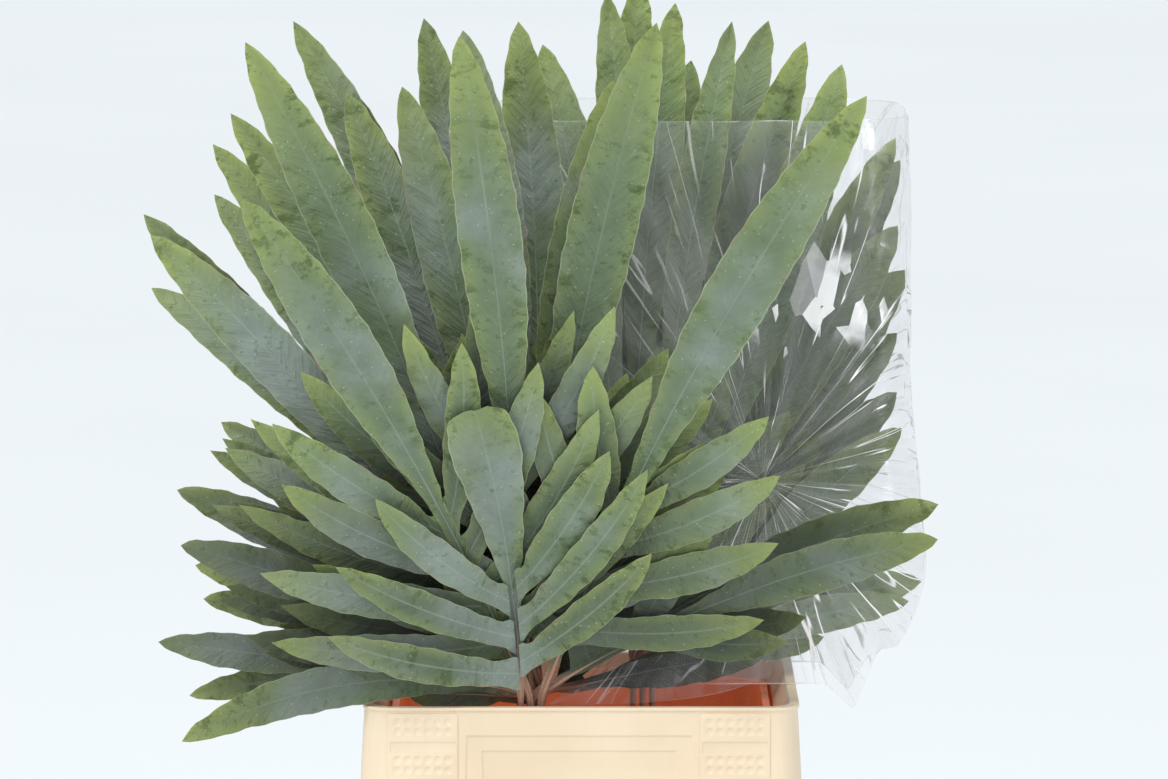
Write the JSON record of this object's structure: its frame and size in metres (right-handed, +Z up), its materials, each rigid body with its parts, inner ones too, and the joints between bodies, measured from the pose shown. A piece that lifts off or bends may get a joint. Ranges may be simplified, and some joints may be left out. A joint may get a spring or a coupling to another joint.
{
  "type": "potted blue star fern",
  "caption": "Cut blue star fern fronds with deeply lobed grey-green blades, standing in water in a moulded holder, a bunch open in front and a bunch in a clear film sleeve behind.",
  "frame": {"origin": "centre of the flat underside of the holder, on the surface that it stands on", "axes": "+Z up, +X to the right of the front as the picture shows it, +Y from the front towards the sleeved bunch at the back"},
  "size_m": [0.5613, 0.4808, 0.775],
  "materials": {
    "holder_plastic": "cream moulded plastic, satin",
    "bucket_plastic": "terracotta moulded plastic, satin",
    "water": "clear still water",
    "film": "clear glossy crinkled film",
    "frond": "waxy leaf, grey blue-green with yellow-green edges",
    "sleeved_frond": "waxy leaf, grey-green with yellow-green tips"
  },
  "bodies": {
    "root": {"holder": "holder_plastic", "bucket": "bucket_plastic", "water": "water", "sleeve": "film", "front_frond_01": "frond", "front_frond_02": "frond", "front_frond_03": "frond", "front_frond_04": "frond", "front_frond_05": "frond", "front_frond_06": "frond", "front_frond_07": "frond", "front_frond_08": "frond", "front_frond_09": "frond", "front_frond_10": "frond", "front_frond_11": "frond", "front_frond_12": "frond", "front_frond_13": "frond", "front_frond_14": "frond", "front_frond_15": "frond", "front_frond_16": "frond", "front_frond_17": "frond", "front_frond_18": "frond", "front_frond_19": "frond", "front_frond_20": "frond", "front_frond_21": "frond", "front_frond_22": "frond", "front_frond_23": "frond", "front_frond_24": "frond", "front_frond_25": "frond", "front_frond_26": "frond", "front_frond_27": "frond", "front_frond_28": "frond", "front_frond_29": "frond", "front_frond_30": "frond", "front_frond_31": "frond", "rear_frond_01": "sleeved_frond", "rear_frond_02": "sleeved_frond", "rear_frond_03": "sleeved_frond", "rear_frond_04": "sleeved_frond", "rear_frond_05": "sleeved_frond", "rear_frond_06": "sleeved_frond", "rear_frond_07": "sleeved_frond", "rear_frond_08": "sleeved_frond", "rear_frond_09": "sleeved_frond", "rear_frond_10": "sleeved_frond", "rear_frond_11": "sleeved_frond", "rear_frond_12": "sleeved_frond", "rear_frond_13": "sleeved_frond", "rear_frond_14": "sleeved_frond", "rear_frond_15": "sleeved_frond", "rear_frond_16": "sleeved_frond", "rear_frond_17": "sleeved_frond", "rear_frond_18": "sleeved_frond"}
  },
  "joints": []
}
